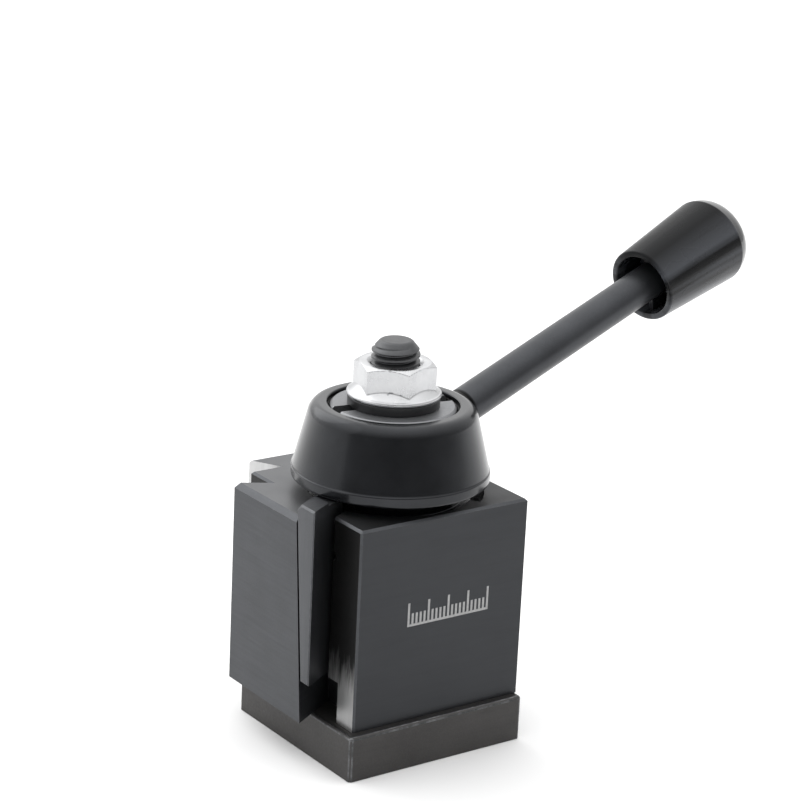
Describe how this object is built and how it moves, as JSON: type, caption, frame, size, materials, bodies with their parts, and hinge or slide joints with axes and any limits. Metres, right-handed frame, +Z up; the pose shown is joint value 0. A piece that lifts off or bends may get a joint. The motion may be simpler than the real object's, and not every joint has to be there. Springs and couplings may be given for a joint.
{
  "type": "quick change tool post",
  "caption": "Wedge type quick change tool post for a small lathe: dovetailed block on a T-nut, conical cam hub with a lever that draws two wedges down.",
  "frame": {"origin": "centre of the stud at the underside of the T-nut blank", "axes": "+Z up along the stud, -Y is the plain front face, -X the turning dovetail, +Y the boring dovetail, the handle points along +X when released"},
  "size_m": [0.1338, 0.05, 0.0994],
  "materials": {
    "milled_steel": "blackened, fine milled grain",
    "dark_thread": "black oxide, satin",
    "black_washer": "black oxide, satin",
    "zinc_nut": "bright zinc plate",
    "blackened_steel": "black oxide over a ground face",
    "sleeve_steel": "black oxide, satin",
    "ground_steel": "ground",
    "seal_rubber": "matte",
    "polished_black_steel": "polished black oxide",
    "satin_black_rod": "black oxide, satin",
    "insert_brass": "turned",
    "knob_plastic": "gloss moulding",
    "wedge_steel": "black oxide, ground"
  },
  "bodies": {
    "base": {"tnut_blank": "milled_steel", "stud": "dark_thread", "clamp_washer": "black_washer", "flange_nut": "zinc_nut"},
    "post": {"post_body": "blackened_steel", "centre_sleeve": "sleeve_steel", "sleeve_dowels": "ground_steel"},
    "hub_carrier": {"hub_seal_ring": "seal_rubber"},
    "hub": {"cam_hub": "polished_black_steel", "stop_pin": "ground_steel", "handle_rod": "satin_black_rod", "knob_insert": "insert_brass", "handle_knob": "knob_plastic"},
    "turning_wedge": {"turning_wedge": "wedge_steel"},
    "boring_wedge": {"boring_wedge": "wedge_steel"}
  },
  "joints": [
    {"name": "post_swivel", "type": "hinge", "parent": "base", "child": "post", "pos_m": [0, 0, 0.0314], "axis": [0, 0, 1], "continuous": true},
    {"name": "hub_travel", "type": "slide", "parent": "post", "child": "hub_carrier", "axis": [0, 0, 1], "range_m": [-0.00224, 0]},
    {"name": "handle_swing", "type": "hinge", "parent": "hub_carrier", "child": "hub", "pos_m": [0, 0, 0.06], "axis": [0, 0, 1], "range_deg": [-100, 0]},
    {"name": "turning_wedge_slide", "type": "slide", "parent": "post", "child": "turning_wedge", "axis": [0, 0.0854, 0.9963], "range_m": [-0.00225, 0]},
    {"name": "boring_wedge_slide", "type": "slide", "parent": "post", "child": "boring_wedge", "axis": [-0.0854, 0, 0.9963], "range_m": [-0.00225, 0]}
  ],
  "couplings": [
    {"joint": "hub_travel", "follows": "handle_swing", "m_per_rad": 0.0012732},
    {"joint": "turning_wedge_slide", "follows": "handle_swing", "m_per_rad": 0.0012779},
    {"joint": "boring_wedge_slide", "follows": "handle_swing", "m_per_rad": 0.0012779}
  ]
}
